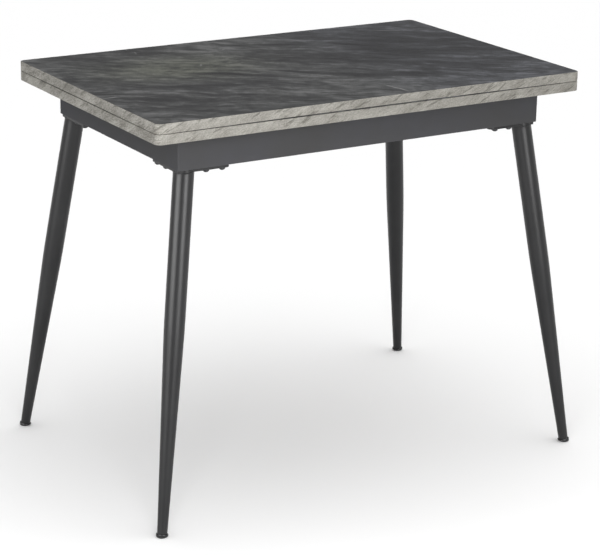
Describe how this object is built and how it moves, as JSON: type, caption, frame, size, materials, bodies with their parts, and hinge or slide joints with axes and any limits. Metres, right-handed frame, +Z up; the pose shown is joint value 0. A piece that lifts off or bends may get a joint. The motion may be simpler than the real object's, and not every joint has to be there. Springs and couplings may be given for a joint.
{
  "type": "extendable dining table",
  "caption": "Dining table whose folded top swivels a quarter turn and opens out flat to double its area, on splayed tapered metal legs and a box apron.",
  "frame": {"origin": "on the floor, under the centre of the closed top", "axes": "+X along the long side of the closed top, -Y the front long side, +Z up"},
  "size_m": [0.9268, 0.6196, 0.75],
  "materials": {
    "slate_laminate": "satin dark slate-pattern laminate on particle board",
    "greige_edging": "matt greige stone-grain edge band",
    "anthracite_board": "satin anthracite foil on fibreboard",
    "anthracite_powder": "satin anthracite powder coat on steel",
    "black_plastic": "moulded",
    "black_zinc_screw": "black zinc",
    "plain_wood": "planed softwood",
    "white_nylon": "turned",
    "grey_felt": "pressed felt",
    "clear_rubber": "clear",
    "zinc_steel": "zinc plated"
  },
  "bodies": {
    "frame": {"apron_front": "anthracite_board", "apron_left": "anthracite_board", "apron_rear": "anthracite_board", "apron_right": "anthracite_board", "corner_block_screws": "black_zinc_screw", "corner_blocks": "plain_wood", "foot_cap_front_left": "black_plastic", "foot_cap_front_right": "black_plastic", "foot_cap_rear_left": "black_plastic", "foot_cap_rear_right": "black_plastic", "glide_pads": "grey_felt", "leg_plate_front_left": "anthracite_powder", "leg_plate_front_right": "anthracite_powder", "leg_plate_rear_left": "anthracite_powder", "leg_plate_rear_right": "anthracite_powder", "leg_plate_screws": "black_zinc_screw", "leg_tube_front_left": "anthracite_powder", "leg_tube_front_right": "anthracite_powder", "leg_tube_rear_left": "anthracite_powder", "leg_tube_rear_right": "anthracite_powder", "pivot_bush": "white_nylon", "pivot_rail": "plain_wood", "rail_bracket_screws": "black_zinc_screw", "rail_brackets": "zinc_steel", "slip_washer": "white_nylon"},
    "lower_top": {"lower_leaf": "slate_laminate", "lower_leaf_edge_band": "greige_edging", "hinge_plates_lower": "zinc_steel", "hinge_screws_lower": "zinc_steel", "hinge_pins": "zinc_steel", "bumper_dots": "clear_rubber", "pivot_plate": "zinc_steel", "pivot_plate_screws": "zinc_steel", "pivot_bolt": "zinc_steel", "pivot_washer": "zinc_steel", "spring_washer": "zinc_steel", "lock_nut": "zinc_steel", "swivel_stop": "plain_wood", "swivel_stop_screws": "black_zinc_screw"},
    "upper_top": {"upper_leaf": "slate_laminate", "upper_leaf_edge_band": "greige_edging", "hinge_plates_upper": "zinc_steel", "hinge_screws_upper": "zinc_steel"}
  },
  "joints": [
    {"name": "top_swivel", "type": "hinge", "parent": "frame", "child": "lower_top", "pos_m": [0.1425, 0.1425, 0.712], "axis": [0, 0, 1], "range_deg": [0, 90]},
    {"name": "leaf_flip", "type": "hinge", "parent": "lower_top", "child": "upper_top", "pos_m": [0, 0.2855, 0.73175], "axis": [-1, 0, 0], "range_deg": [0, 180]}
  ]
}
